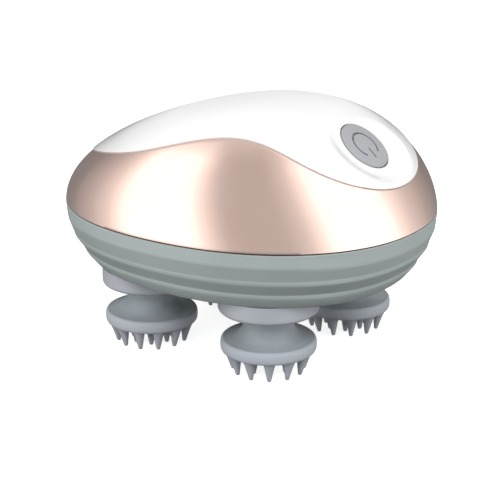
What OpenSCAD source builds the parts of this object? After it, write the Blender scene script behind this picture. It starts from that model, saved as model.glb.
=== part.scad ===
// Cordless electric scalp massager: an egg-shaped hand grip over four geared, rotating
// silicone heads. +X points to the nose with the power button, +Z up, and the finger
// tips stand on z = 0 under the middle of the body. All sizes are in millimetres.

/* [Body] */
// Length of the body at the parting line, tail to nose
body_length = 124; // [116:1:136]
// Width of the body at the parting line
body_width = 106; // [100:1:116]
// Height of the dome above the parting line
dome_height = 35.6; // [34:0.1:42]
// How far the top of the dome lies forward of the middle
crown_forward = 11.6; // [4:0.2:16]
// Wall thickness of the moulded shells
wall = 2.2; // [1.8:0.1:2.6]

/* [White cap] */
// Distance in plan from the nose to the edge of the cap
cap_nose_margin = 5; // [3:0.5:9]
// Distance in plan from the tail to the edge of the cap
cap_tail_margin = 7.5; // [6:0.5:14]
// Width of the cap in plan before it is waisted
cap_width = 86; // [78:1:90]
// How much each side of the cap draws in at the waist
cap_waist = 10.5; // [0:0.5:11.5]
// Distance of the waist forward of the middle
cap_waist_forward = 20; // [10:1:28]
// How far the cap stands proud of the side band
cap_step = 0.4; // [0:0.1:0.8]

/* [Grip] */
// Height of the stepped grip, from the parting line to its lower edge
grip_height = 20; // [19.5:0.5:22]
// How far the lower edge lies inside the parting line
grip_tuck = 10; // [7:0.5:11]
// Height of one step of the grip
step_pitch = 5.3; // [4.8:0.1:5.8]
// How far each step stands out over the next one down
step_depth = 0.5; // [0.2:0.1:0.9]
// Thickness of the grip's floor
floor_thickness = 2.4; // [2:0.1:3]

/* [Power button] */
// Diameter of the button
button_diameter = 17.5; // [16:0.5:19]
// Distance in plan from the nose to the middle of the button
button_set_back = 17.5; // [16:0.5:19]
// Lean of the button's face from the horizontal
button_tilt = 40; // [37:1:41]
// Travel of the button
button_travel = 0.8; // [0.4:0.1:1]
// Gap round the button
button_gap = 0.35; // [0.25:0.05:0.6]

/* [Massage heads] */
// Diameter of a silicone head
head_diameter = 30.5; // [28:0.5:32]
// Length of the massage fingers
finger_length = 6.8; // [5.5:0.1:8]
// Diameter of a finger at its root
finger_root = 4.2; // [3.4:0.1:4.5]
// Diameter of a finger at its tip
finger_tip = 1.2; // [0.9:0.1:1.6]
// Fingers in the outer ring of a head
outer_fingers = 12; // [10:1:14]
// Fingers in the inner ring of a head
inner_fingers = 7; // [5:1:8]
// Height of the rounded lip round a head
lip_height = 4.2; // [3.6:0.1:5]
// Height of the hollow flare between the lip and the collar
flare_height = 9; // [7.5:0.5:11]
// Diameter of the neck that turns in the collar
neck_diameter = 16; // [15:0.5:17]

/* [Collars] */
// Diameter of a head collar
collar_diameter = 32; // [30:0.5:32.5]
// How far a collar stands down from the grip's floor
collar_drop = 6; // [5:0.5:8]
// Diameter of the collar's spigot in the floor
spigot_diameter = 26; // [22:0.5:27]

/* [Gear train] */
// Module of the sun gear, the output gears and the idler's pinion
gear_module = 1; // [0.98:0.01:1.02]
// Teeth of the sun gear
sun_teeth = 40; // [36:4:40]
// Teeth of each output gear
output_teeth = 26; // [26:2:28]
// Teeth of the idler's pinion
idler_pinion_teeth = 12; // [12:1:13]
// Module of the idler's wheel and the motor's pinion
wheel_module = 0.8; // [0.78:0.01:0.8]
// Teeth of the idler's wheel
wheel_teeth = 45; // [42:1:46]
// Teeth of the motor's pinion
motor_pinion_teeth = 20; // [18:1:22]
// Face width of the sun and output gears
gear_width = 5; // [4:0.5:5.5]
// Face width of the idler's wheel
wheel_width = 3; // [2.5:0.5:3.5]
// Play between meshing teeth
backlash = 0.14; // [0.1:0.02:0.2]

/* [Shafts and bushes] */
// Diameter of a head's spindle
spindle_diameter = 6; // [5:0.5:7]
// Diameter of the sun gear's axle
sun_axle_diameter = 5; // [4:0.5:6]
// Diameter of the idler's axle
idler_axle_diameter = 3; // [2.5:0.5:4]
// Outside diameter of a spindle bush
bush_diameter = 10; // [9.5:0.5:11]
// Radial clearance of every running fit
running_fit = 0.04; // [0.02:0.01:0.08]

/* [Motor, battery and board] */
// Diameter of the motor's can
motor_diameter = 24.4; // [22:0.2:25]
// Length of the motor's can
motor_length = 25; // [22:0.5:26]
// Diameter of the motor's shaft
motor_shaft_diameter = 2; // [1.6:0.1:2.4]
// Diameter of the rechargeable cell
cell_diameter = 18.3; // [16:0.1:18.6]
// Length of the rechargeable cell
cell_length = 49.5; // [44:0.5:52]
// Thickness of the circuit board
board_thickness = 1.6; // [1.2:0.1:2]
// Diameter of the charging socket's bore
socket_bore = 2.6; // [2.2:0.1:3]
// Depth of the charging socket's bore
socket_depth = 10; // [8:0.5:11]

/* [Hidden] */
$fn = 48;

// Forms of the body
plan_power = 2.2;          // plan outline: a slightly squared ellipse
side_power = 1.8;          // profile from tail to nose
cross_power = 2.26;        // profile from side to side
crown_lean = 2.04;         // how late the rings shift forward to the crown
segments = 64;             // points round each ring of the shells
seam = 0.5;                // thickness of the gasket in the parting line
seam_recess = 0.35;        // how far the gasket lies inside the shells
face_gap = 0.1;            // axial clearance of a turning piece

// Heights of the stack, from the finger tips up
lip_z = finger_length;
flare_z = lip_z + lip_height;
collar_z = flare_z + flare_height;
floor_z = collar_z + collar_drop;
inner_floor_z = floor_z + floor_thickness;
parting_z = floor_z + grip_height;
gear_lift = 2;             // height of the axle bosses above the inner floor
gear_z = inner_floor_z + gear_lift;
deck_gap = 1.4;            // free height between the two decks of gears
wheel_z = gear_z + gear_width + deck_gap;
cover_thickness = 2.4;
cover_gap = 0.9;           // free height between the wheel and the gear cover
cover_z = wheel_z + wheel_width + cover_gap;
cover_top_z = cover_z + cover_thickness;

// Places of the gears
drive_radius = gear_module * (sun_teeth + output_teeth) / 2;
head_x = drive_radius * cos(45);
idler_x = gear_module * (sun_teeth + idler_pinion_teeth) / 2;
motor_x = idler_x - wheel_module * (wheel_teeth + motor_pinion_teeth) / 2;

// The four heads: quarter 0 is nose left, then tail left, tail right and nose right
HEAD_PHASE = [27, 6, 3, 20]; // turn of each head's finger rings, as they stopped

// ---------------------------------------------------------------- dome surface
function signed_power(v, e) = sign(v) * pow(abs(v), e);
function level_share(t, power) = pow(max(0, 1 - pow(t, power)), 1 / power);
function plan_x(angle) = signed_power(cos(angle), 2 / plan_power);
function plan_y(angle) = signed_power(sin(angle), 2 / plan_power);

// A point of the dome at a share t of its height, inset from the outer surface
function dome_point(angle, t, inset) = [
    crown_forward * pow(t, crown_lean)
        + (body_length / 2 - inset) * level_share(t, side_power) * plan_x(angle),
    (body_width / 2 - inset) * level_share(t, cross_power) * plan_y(angle),
    parting_z + (dome_height - inset) * t
];

// The cap's edge in plan: a squared oval, drawn in at the waist
cap_middle_x = (cap_tail_margin - cap_nose_margin) / 2;
cap_half_length = (body_length - cap_nose_margin - cap_tail_margin) / 2;
cap_power = 2.1;
waist_spread = 25.5;
function cap_half_width(x) =
    cap_width / 2 - cap_waist * exp(-pow((x - cap_waist_forward) / waist_spread, 2));
function outside_cap(p) =
    pow(abs((p[0] - cap_middle_x) / cap_half_length), cap_power)
    + pow(abs(p[1] / cap_half_width(p[0])), cap_power) > 1;

// Share of the height at which the dome crosses the cap's edge, by halving the interval
halvings = 18;
function edge_level(angle, low = 0, high = 1, n = halvings) =
    n == 0 ? (low + high) / 2
    : let (mid = (low + high) / 2)
      outside_cap(dome_point(angle, mid, 0))
        ? edge_level(angle, mid, high, n - 1)
        : edge_level(angle, low, mid, n - 1);

ANGLES = [for (i = [0 : segments - 1]) i * 360 / segments];
EDGE = [for (a = ANGLES) edge_level(a)];

// The nose's profile gives the button its place
function nose_level(x, low = 0, high = 1, n = halvings) =
    n == 0 ? (low + high) / 2
    : let (mid = (low + high) / 2)
      dome_point(0, mid, 0)[0] > x
        ? nose_level(x, mid, high, n - 1)
        : nose_level(x, low, mid, n - 1);
button_point = dome_point(0, nose_level(body_length / 2 - button_set_back), 0);

// The cap is dished round the button: near its axis, each point above the land's plane is
// drawn down to it, softly at the dish's rim
land_sink = 2.2;           // depth of the land under the dome's surface at the button
land_width = 3;            // flat ring of the land round the button
dish_blend = 6;            // width of the soft rim outside the land
function dished(p, depth) =
    let (d = p - button_point, up = [sin(button_tilt), 0, cos(button_tilt)],
         height = d * up, r = norm(d - height * up),
         share = 1 - smooth((r - button_diameter / 2 - land_width) / dish_blend))
    p - up * max(0, height + depth) * share;

// Moves to the middle of the button's face, with +Z along its normal
module at_button() {
    translate(button_point) rotate([0, button_tilt, 0]) children();
}

// ---------------------------------------------------------------- skins
// A closed solid through a chain of rings, each a list of points. With poles, the chain
// ends in its first and last points; without, the last ring joins the first.
module skin(rings, poles) {
    n = len(rings[0]);
    m = len(rings);
    points = concat([for (r = rings) each r], poles);
    wraps = len(poles) == 0;
    sides = [for (j = [0 : m - (wraps ? 1 : 2)]) for (i = [0 : n - 1])
        let (a = j * n + i, b = j * n + (i + 1) % n,
             c = ((j + 1) % m) * n + i, d = ((j + 1) % m) * n + (i + 1) % n)
        each [[a, b, d], [a, d, c]]];
    first_fan = [for (i = [0 : n - 1]) [m * n, (i + 1) % n, i]];
    last_fan = [for (i = [0 : n - 1])
        [m * n + 1, (m - 1) * n + i, (m - 1) * n + (i + 1) % n]];
    polyhedron(points, wraps ? sides : concat(first_fan, sides, last_fan));
}

// Rings of the dome between two levels, which may change round the ring
function dome_ring(levels, inset) =
    [for (i = [0 : segments - 1]) dome_point(ANGLES[i], levels[i], inset)];
function dished_ring(levels, inset, depth) =
    [for (p = dome_ring(levels, inset)) dished(p, depth)];
function blend(low, high, share) =
    [for (i = [0 : segments - 1]) low[i] + (high[i] - low[i]) * share];
// Levels that climb evenly along the arc from the cap's edge to the crown
function crown_levels(share) =
    [for (t = EDGE) let (rise = asin(t)) sin(rise + (90 - rise) * share)];

// ---------------------------------------------------------------- grip surface
function grip_inset(depth) = grip_tuck * pow(depth / grip_height, 1.75);
step_count = floor((grip_height - 1.5) / step_pitch);
step_return = 0.22;        // share of a step's height in which its foot tucks back in
// The steps grow shallow towards the nose and fade out at the tail
function smooth(v) = let (s = min(1, max(0, v))) s * s * (3 - 2 * s);
function fade(angle) =
    smooth((cos(angle) + 0.93) / 0.4) * (1 - 0.55 * smooth((cos(angle) - 0.6) / 0.35));
// A step runs straight down, stands out a little over the next one and tucks back in to it
function step_inset(step, share, angle) =
    let (top = grip_inset(step * step_pitch), foot = grip_inset((step + 1) * step_pitch),
         brow = max(0, foot - step_depth * fade(angle)))
    share < 1 - step_return ? top + (brow - top) * share / (1 - step_return)
        : foot + (brow - foot) * cos(90 * (share - 1 + step_return) / step_return);
function grip_point(angle, depth, inset) =
    [(body_length / 2 - inset) * plan_x(angle), (body_width / 2 - inset) * plan_y(angle),
     parting_z - depth];
function grip_ring(depth, inset) =
    [for (a = ANGLES) grip_point(a, depth, inset + grip_inset(depth))];
function step_ring(step, share) =
    [for (a = ANGLES) grip_point(a, (step + share) * step_pitch, step_inset(step, share, a))];
STEP_SHARES = [1 - step_return, 1 - step_return / 2, 1];

function plan_outline(inset) = [for (a = ANGLES)
    [(body_length / 2 - inset) * plan_x(a), (body_width / 2 - inset) * plan_y(a)]];

// ---------------------------------------------------------------- placing
// Quarter q of the four heads
module at_head(q) {
    rotate(45 + 90 * q) translate([drive_radius, 0, 0]) children();
}

// ---------------------------------------------------------------- gears
// Involute of a circle of radius base, at the radius r: the angle it has turned
function involute_angle(base, r) =
    let (c = min(1, base / r), a = acos(c)) tan(a) * 180 / PI - a;
pressure_angle = 20;
flank_points = 4;
function tooth_flank(m, n) =
    let (pitch = m * n / 2, base = pitch * cos(pressure_angle),
         low = max(base, pitch - 1.2 * m), high = pitch + m,
         half = 90 / n - backlash / 4 / pitch * 180 / PI + involute_angle(base, pitch))
    [for (k = [0 : flank_points - 1])
        let (r = low + (high - low) * k / (flank_points - 1))
        [r, half - involute_angle(base, r)]];
function gear_outline(m, n) =
    let (flank = tooth_flank(m, n), root = m * n / 2 - 1.2 * m)
    [for (i = [0 : n - 1]) each concat(
        [[root * cos(360 / n * i - flank[0][1]), root * sin(360 / n * i - flank[0][1])]],
        [for (k = [0 : flank_points - 1]) let (a = 360 / n * i - flank[k][1])
            [flank[k][0] * cos(a), flank[k][0] * sin(a)]],
        [for (k = [flank_points - 1 : -1 : 0]) let (a = 360 / n * i + flank[k][1])
            [flank[k][0] * cos(a), flank[k][0] * sin(a)]],
        [[root * cos(360 / n * i + flank[0][1]), root * sin(360 / n * i + flank[0][1])]])];
module spur_gear(m, n, width) {
    linear_extrude(width) polygon(gear_outline(m, n));
}

// ================================================================ shells
cap_rings = 9;
button_sink = 1.9;         // how far the button's rim lies under the dome's surface
guide_seat = 1.4;          // thickness of the cover over the guide ring's pocket
guide_height = 2.4;
guide_top = -land_sink - guide_seat;
guide_foot = guide_top - guide_height;
guide_wall = 1.4;
guide_bore = button_diameter / 2 + button_gap;
module top_cover() {
    outer = [for (k = [0 : cap_rings - 1])
        dished_ring(crown_levels(k / cap_rings), -cap_step, land_sink)];
    inner = [for (k = [cap_rings - 1 : -1 : 0])
        dished_ring(crown_levels(k / cap_rings), wall, land_sink + wall)];
    color("white") difference() {
        skin(concat(inner, outer), [dome_point(0, 1, wall), dome_point(0, 1, -cap_step)]);
        at_button() rotate(4) {
            translate([0, 0, guide_foot - 1]) cylinder(h = 12, r = guide_bore);
            translate([0, 0, guide_foot - 4])
                cylinder(h = guide_top - guide_foot + 4, r = guide_bore + guide_wall);
            translate([0, 0, -land_sink])
                cylinder(h = 8, r = button_diameter / 2 + land_width);
        }
    }
}
module button_guide() {
    color([0.9, 0.9, 0.92]) at_button() rotate(4) translate([0, 0, guide_foot]) difference() {
        cylinder(h = guide_top - guide_foot, r = guide_bore + guide_wall);
        translate([0, 0, -1]) cylinder(h = guide_top - guide_foot + 2, r = guide_bore);
    }
}

band_rings = 6;
// Levels of the band's foot, flat on the gasket at every inset
function foot_levels(inset) = [for (a = ANGLES) seam / 2 / (dome_height - inset)];
module side_band() {
    outer = [for (k = [0 : band_rings])
        dome_ring(blend(foot_levels(0), EDGE, k / band_rings), 0)];
    inner = [for (k = [band_rings : -2 : 0])
        dome_ring(blend(foot_levels(wall), EDGE, k / band_rings), wall)];
    color([0.78, 0.62, 0.56]) skin(concat(outer, inner), []);
}

module parting_gasket() {
    color([0.25, 0.17, 0.15]) translate([0, 0, parting_z - seam / 2]) linear_extrude(seam)
        difference() {
            polygon(plan_outline(seam_recess));
            polygon(plan_outline(wall));
        }
}

edge_round = 0.9;
spigot_fit = 0.05;
module grip_shell() {
    outer = concat(
        [grip_ring(seam / 2, 0)],
        [for (b = [0 : step_count - 1]) for (s = STEP_SHARES) step_ring(b, s)],
        [grip_ring(grip_height - edge_round, 0), grip_ring(grip_height, edge_round)]);
    inner = [for (d = [grip_height - floor_thickness, grip_height * 0.6, grip_height * 0.3, seam / 2])
        grip_ring(d, wall)];
    skin(concat(inner, outer), [[0, 0, inner_floor_z], [0, 0, floor_z]]);
}

post_x = 42.5;
post_y = 18;
post_radius = 3.4;
pilot_radius = 1.1;
pilot_depth = 8;
module at_posts() {
    for (x = [-post_x, post_x]) for (y = [-post_y, post_y]) translate([x, y, 0]) children();
}

boss_wall = 1.6;
boss_height = gear_lift - face_gap;
axle_seat = 0.8;           // thickness left under a fixed axle
socket_level = 7.5;        // depth of the charging socket under the parting line
socket_radius = 3.2;
socket_neck = 3.1;
module at_socket() {
    translate([-body_length / 2 + grip_inset(socket_level + socket_radius) + 0.2, 0,
               parting_z - socket_level]) rotate([0, -90, 0]) children();
}
module grip_base() {
    color([0.62, 0.66, 0.66]) difference() {
        union() {
            grip_shell();
            at_posts() translate([0, 0, inner_floor_z - 1])
                cylinder(h = cover_z - inner_floor_z + 1, r = post_radius);
            translate([0, 0, inner_floor_z - 1])
                cylinder(h = boss_height + 1, r = sun_axle_diameter / 2 + boss_wall);
            translate([idler_x, 0, inner_floor_z - 1])
                cylinder(h = boss_height + 1, r = idler_axle_diameter / 2 + boss_wall);
        }
        at_posts() translate([0, 0, cover_z - pilot_depth])
            cylinder(h = pilot_depth + 1, r = pilot_radius);
        translate([0, 0, floor_z + axle_seat]) cylinder(h = 20, r = sun_axle_diameter / 2);
        translate([idler_x, 0, floor_z + axle_seat]) cylinder(h = 20, r = idler_axle_diameter / 2);
        for (q = [0 : 3]) at_head(q) translate([0, 0, floor_z - 1])
            cylinder(h = floor_thickness + 2, r = spigot_diameter / 2 + spigot_fit);
        at_socket() translate([0, 0, -socket_neck - 4]) cylinder(h = 16, r = socket_radius);
    }
}

// ================================================================ power button
button_crown = 0.35;
button_flange = 1.1;
button_skin = 1.8;
stem_radius = 1.7;
stem_length = 3.6;
button_foot = guide_foot - button_flange;
module power_button() {
    r = button_diameter / 2;
    color([0.78, 0.78, 0.8]) at_button() {
        rotate_extrude() polygon([
            [0, button_crown - button_sink], [r * 0.4, button_crown * 0.84 - button_sink],
            [r * 0.75, button_crown * 0.44 - button_sink], [r - 0.5, -button_sink],
            [r, -button_sink - 0.5], [r, guide_foot - 0.05],
            [r + button_flange, guide_foot - 0.05], [r + button_flange, button_foot - 0.05],
            [r - 1.5, button_foot - 0.05], [r - 1.5, -button_sink - button_skin],
            [stem_radius, -button_sink - button_skin],
            [stem_radius, button_foot - stem_length], [0, button_foot - stem_length]]);
    }
}

// ================================================================ circuit board
plunger_radius = 1.6;
plunger_length = 2.2;
switch_size = 6.2;
switch_height = 3.4;
board_length = 26;
board_width = 22;
board_top = button_foot - stem_length - switch_height - 0.2 - button_travel;
module switch_plunger() {
    color([0.15, 0.15, 0.16]) at_button() translate([0, 0, button_foot - stem_length - plunger_length])
        cylinder(h = plunger_length, r = plunger_radius);
}
module switch_body() {
    color([0.2, 0.2, 0.22]) at_button() difference() {
        translate([-switch_size / 2, -switch_size / 2, board_top])
            cube([switch_size, switch_size, switch_height]);
        translate([0, 0, board_top + 1]) cylinder(h = 6, r = plunger_radius + running_fit);
    }
}
board_screw_y = 8;
board_screw_x = 9;
board_screw_length = 7;
module at_board_screws() {
    for (x = [-board_screw_x, board_screw_x]) for (y = [-board_screw_y, board_screw_y])
        at_button() translate([x, y, board_top]) children();
}
module circuit_board() {
    color([0.1, 0.32, 0.2]) difference() {
        at_button() translate([-board_length / 2, -board_width / 2, board_top - board_thickness])
            cube([board_length, board_width, board_thickness]);
        at_board_screws() translate([0, 0, -board_thickness - 1]) cylinder(h = 5, r = 0.9);
    }
}
module board_screws() {
    color([0.75, 0.76, 0.78]) at_board_screws() {
        cylinder(h = 1, r = 1.7);
        translate([0, 0, -board_screw_length]) cylinder(h = board_screw_length, r = 0.9);
    }
}
bracket_rib = 4;
bracket_foot = 2;
board_normal = [sin(button_tilt), cos(button_tilt)];
board_along = [cos(button_tilt), -sin(button_tilt)];
board_foot = [button_point[0], button_point[2]] + board_normal * (board_top - board_thickness);
module board_bracket() {
    high = board_foot - board_along * board_length / 2;
    low = board_foot + board_along * board_length / 2;
    color([0.85, 0.85, 0.86]) difference() {
        for (y = [-board_screw_y, board_screw_y])
            translate([0, y + bracket_rib / 2, 0]) rotate([90, 0, 0]) linear_extrude(bracket_rib)
                polygon([high, low, [low[0], cover_top_z], [high[0], cover_top_z]]);
        at_board_screws() translate([0, 0, -board_screw_length]) cylinder(h = 12, r = 0.9);
    }
}

// ================================================================ massage heads
NECK_IN_COLLAR = 0.8;      // how far the neck reaches into the collar
neck_top_z = collar_z + NECK_IN_COLLAR;
hub_radius = neck_diameter / 2 - 2.4;
plate_radius = head_diameter / 2 - 4;
plate_low_z = lip_z + 2;
plate_high_z = plate_low_z + 1.6;
finger_sink = 0.6;
finger_lean = 8;
finger_lift = 0.05;        // the leaning tips end just above the upright ones
outer_ring_radius = head_diameter / 2 - 3.05;
inner_ring_radius = 6.4;
module head_profile() {
    r = head_diameter / 2;
    n = neck_diameter / 2;
    polygon([
        [0, lip_z], [r - 0.9, lip_z], [r - 0.35, lip_z + 0.3], [r - 0.08, lip_z + 1],
        [r, lip_z + 2.2], [r - 0.12, flare_z - 1], [r - 0.45, flare_z - 0.25],
        [r - 0.95, flare_z], [r - 1.6, flare_z - 0.1], [r - 3, flare_z + 0.15],
        [n + (r - 4 - n) * 0.55, flare_z + 1.1], [n + (r - 4 - n) * 0.2, flare_z + 2.8],
        [n, flare_z + 5], [n, neck_top_z], [0, neck_top_z]]);
}
module massage_head(q) {
    color([0.6, 0.63, 0.66]) at_head(q) {
        rotate_extrude() difference() {
            head_profile();
            core_profile();
        }
        rotate(HEAD_PHASE[q]) {
            for (i = [0 : outer_fingers - 1]) rotate(360 / outer_fingers * i)
                translate([outer_ring_radius, 0, lip_z + finger_sink]) rotate([180, -finger_lean, 0])
                    cylinder(
                        h = (lip_z + finger_sink - finger_lift - finger_tip / 2 * sin(finger_lean))
                            / cos(finger_lean),
                        r1 = finger_root / 2, r2 = finger_tip / 2, $fn = 24);
            for (i = [0 : inner_fingers - 1]) rotate(360 / inner_fingers * (i + 0.5))
                translate([inner_ring_radius, 0, 0])
                    cylinder(h = lip_z + finger_sink, r1 = finger_tip / 2,
                             r2 = finger_root / 2, $fn = 24);
            cylinder(h = lip_z + finger_sink, r1 = finger_tip / 2, r2 = finger_root / 2, $fn = 24);
        }
    }
}
module core_profile() {
    polygon([[0, plate_low_z], [plate_radius, plate_low_z], [plate_radius, plate_high_z],
             [hub_radius, plate_high_z + 1.2], [hub_radius, neck_top_z], [0, neck_top_z]]);
}
drive_side = 4.2;          // side of the square end that drives the head
drive_fit = 0.05;
drive_low_z = plate_high_z + 1.4;
module head_core(q) {
    color([0.9, 0.9, 0.92]) at_head(q) difference() {
        rotate_extrude() core_profile();
        translate([-drive_side / 2 - drive_fit, -drive_side / 2 - drive_fit, drive_low_z])
            cube([drive_side + 2 * drive_fit, drive_side + 2 * drive_fit, 20]);
    }
}

// ================================================================ collars, spindles, bushes
seal_low_z = neck_top_z + 0.2;
seal_height = 1.1;
seal_radius = 7;
flange_low_z = seal_low_z + seal_height + face_gap;
flange_height = 0.9;
bush_low_z = flange_low_z + flange_height + face_gap;
bush_high_z = gear_z - face_gap;
neck_gap = 0.5;
collar_round = 1.5;
module head_collar(q) {
    R = collar_diameter / 2;
    color([0.84, 0.85, 0.88]) at_head(q) rotate_extrude() polygon(concat(
        [[neck_diameter / 2 + neck_gap, collar_z]],
        [for (a = [0 : 22.5 : 90])
            [R - collar_round + collar_round * sin(a), collar_z + collar_round * (1 - cos(a))]],
        [[R, floor_z], [spigot_diameter / 2, floor_z], [spigot_diameter / 2, inner_floor_z],
         [bush_diameter / 2, inner_floor_z], [bush_diameter / 2, seal_low_z + seal_height],
         [seal_radius, seal_low_z + seal_height], [seal_radius, seal_low_z],
         [neck_diameter / 2 + neck_gap, seal_low_z]]));
}
module lip_seal(q) {
    color([0.12, 0.12, 0.13]) at_head(q) translate([0, 0, seal_low_z]) difference() {
        cylinder(h = seal_height, r = seal_radius);
        translate([0, 0, -1]) cylinder(h = seal_height + 2, r = spindle_diameter / 2 + 0.02);
    }
}
module spindle_bush(q) {
    color([0.78, 0.62, 0.32]) at_head(q) translate([0, 0, bush_low_z]) difference() {
        cylinder(h = bush_high_z - bush_low_z, r = bush_diameter / 2);
        translate([0, 0, -1])
            cylinder(h = bush_high_z - bush_low_z + 2, r = spindle_diameter / 2 + running_fit);
    }
}
module head_spindle(q) {
    color([0.74, 0.76, 0.78]) at_head(q) {
        translate([-drive_side / 2, -drive_side / 2, drive_low_z])
            cube([drive_side, drive_side, neck_top_z - drive_low_z + 0.1]);
        translate([0, 0, neck_top_z])
            cylinder(h = gear_z + gear_width - neck_top_z, r = spindle_diameter / 2);
        translate([0, 0, flange_low_z]) cylinder(h = flange_height, r = bush_diameter / 2 - 0.3);
    }
}

// ================================================================ gear train
// The sun's tooth nearest to the line of centres meets a gap of each output gear
sun_offset = 360 / sun_teeth * round(45 * sun_teeth / 360) - 45;
output_turn = 225 + 180 / output_teeth - sun_offset * sun_teeth / output_teeth;
module output_gear(q) {
    color([0.93, 0.92, 0.88]) rotate(90 * q) translate([head_x, head_x, gear_z])
        difference() {
            rotate(output_turn) spur_gear(gear_module, output_teeth, gear_width);
            translate([0, 0, -1]) cylinder(h = gear_width + 2, r = spindle_diameter / 2);
        }
}
clip_thickness = 0.6;
clip_rim = 1.7;
web_hole_radius = 3;
module sun_gear() {
    color([0.93, 0.92, 0.88]) translate([0, 0, gear_z]) difference() {
        spur_gear(gear_module, sun_teeth, gear_width);
        translate([0, 0, -1])
            cylinder(h = gear_width + 2, r = sun_axle_diameter / 2 + running_fit);
        for (a = [0 : 60 : 300]) rotate(a) translate([sun_teeth * gear_module / 4 + 1, 0, -1])
            cylinder(h = gear_width + 2, r = web_hole_radius);
    }
}
module sun_axle() {
    color([0.74, 0.76, 0.78]) translate([0, 0, floor_z + axle_seat])
        cylinder(h = gear_z + gear_width + face_gap + clip_thickness + 0.1 - floor_z - axle_seat,
                 r = sun_axle_diameter / 2);
}
module sun_clip() {
    color([0.3, 0.3, 0.32]) translate([0, 0, gear_z + gear_width + face_gap]) difference() {
        cylinder(h = clip_thickness, r = sun_axle_diameter / 2 + clip_rim);
        translate([0, 0, -1]) cylinder(h = 3, r = sun_axle_diameter / 2);
    }
}
// Both toothings of the idler start from a gap or a tooth that faces its partner
idler_turn = 180 + 180 / idler_pinion_teeth;
module idler_gear() {
    color([0.9, 0.88, 0.8]) translate([idler_x, 0, gear_z]) difference() {
        union() {
            rotate(idler_turn)
                spur_gear(gear_module, idler_pinion_teeth, gear_width + deck_gap + 0.1);
            translate([0, 0, gear_width + deck_gap]) rotate(180 + 180 / wheel_teeth)
                spur_gear(wheel_module, wheel_teeth, wheel_width);
        }
        translate([0, 0, -1]) cylinder(h = 20, r = idler_axle_diameter / 2 + running_fit);
    }
}
axle_in_cover = 1.4;
module idler_axle() {
    color([0.74, 0.76, 0.78]) translate([idler_x, 0, floor_z + axle_seat])
        cylinder(h = cover_z + axle_in_cover - floor_z - axle_seat, r = idler_axle_diameter / 2);
}
module motor_pinion() {
    color([0.78, 0.62, 0.32]) translate([motor_x, 0, wheel_z]) difference() {
        spur_gear(wheel_module, motor_pinion_teeth, wheel_width + 0.4);
        translate([0, 0, -1]) cylinder(h = 10, r = motor_shaft_diameter / 2);
    }
}

// ================================================================ gear cover
cover_inset = 9;
shaft_hole_radius = 3.2;
motor_screw_y = 8;
motor_screw_radius = 1;
motor_screw_grip = 2.2;    // depth of the motor's screws in its face
module at_motor_screws() {
    for (y = [-motor_screw_y, motor_screw_y]) translate([motor_x, y, cover_z]) children();
}
module gear_cover() {
    color([0.88, 0.88, 0.9]) difference() {
        translate([0, 0, cover_z]) linear_extrude(cover_thickness) polygon(plan_outline(cover_inset));
        at_posts() translate([0, 0, cover_z - 1]) cylinder(h = 6, r = pilot_radius);
        translate([motor_x, 0, cover_z - 1]) cylinder(h = 6, r = shaft_hole_radius);
        translate([idler_x, 0, cover_z - 1]) cylinder(h = 1 + axle_in_cover, r = idler_axle_diameter / 2);
        at_motor_screws() {
            translate([0, 0, -1]) cylinder(h = 6, r = motor_screw_radius);
            cylinder(h = motor_screw_radius, r1 = 2 * motor_screw_radius, r2 = motor_screw_radius);
        }
        translate([-body_length / 2, -8, cover_z - 1]) cube([20, 16, 6]);
    }
}
cover_screw_head = 1.4;
cover_screw_radius = 2.2;
module cover_screws() {
    color([0.75, 0.76, 0.78]) at_posts() {
        translate([0, 0, cover_z - pilot_depth + 1])
            cylinder(h = pilot_depth - 1 + cover_thickness, r = pilot_radius);
        translate([0, 0, cover_top_z]) cylinder(h = cover_screw_head, r = cover_screw_radius);
    }
}

// ================================================================ motor
end_cap_height = 2.6;
module motor_can() {
    color([0.7, 0.71, 0.73]) translate([motor_x, 0, cover_top_z]) difference() {
        cylinder(h = motor_length, r = motor_diameter / 2);
        translate([0, 0, -1])
            cylinder(h = motor_length + 2, r = motor_shaft_diameter / 2 + running_fit);
        for (y = [-motor_screw_y, motor_screw_y]) translate([0, y, -1])
            cylinder(h = 1 + motor_screw_grip, r = motor_screw_radius);
    }
}
module motor_end_cap() {
    color([0.12, 0.12, 0.13]) translate([motor_x, 0, cover_top_z + motor_length])
        cylinder(h = end_cap_height, r = motor_diameter / 2 - 1.2);
}
module motor_shaft() {
    color([0.74, 0.76, 0.78]) translate([motor_x, 0, wheel_z])
        cylinder(h = cover_top_z + motor_length - 1 - wheel_z, r = motor_shaft_diameter / 2);
}
module motor_screws() {
    color([0.75, 0.76, 0.78]) at_motor_screws() {
        cylinder(h = cover_thickness + motor_screw_grip, r = motor_screw_radius);
        cylinder(h = motor_screw_radius, r1 = 2 * motor_screw_radius, r2 = motor_screw_radius);
    }
}

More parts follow.
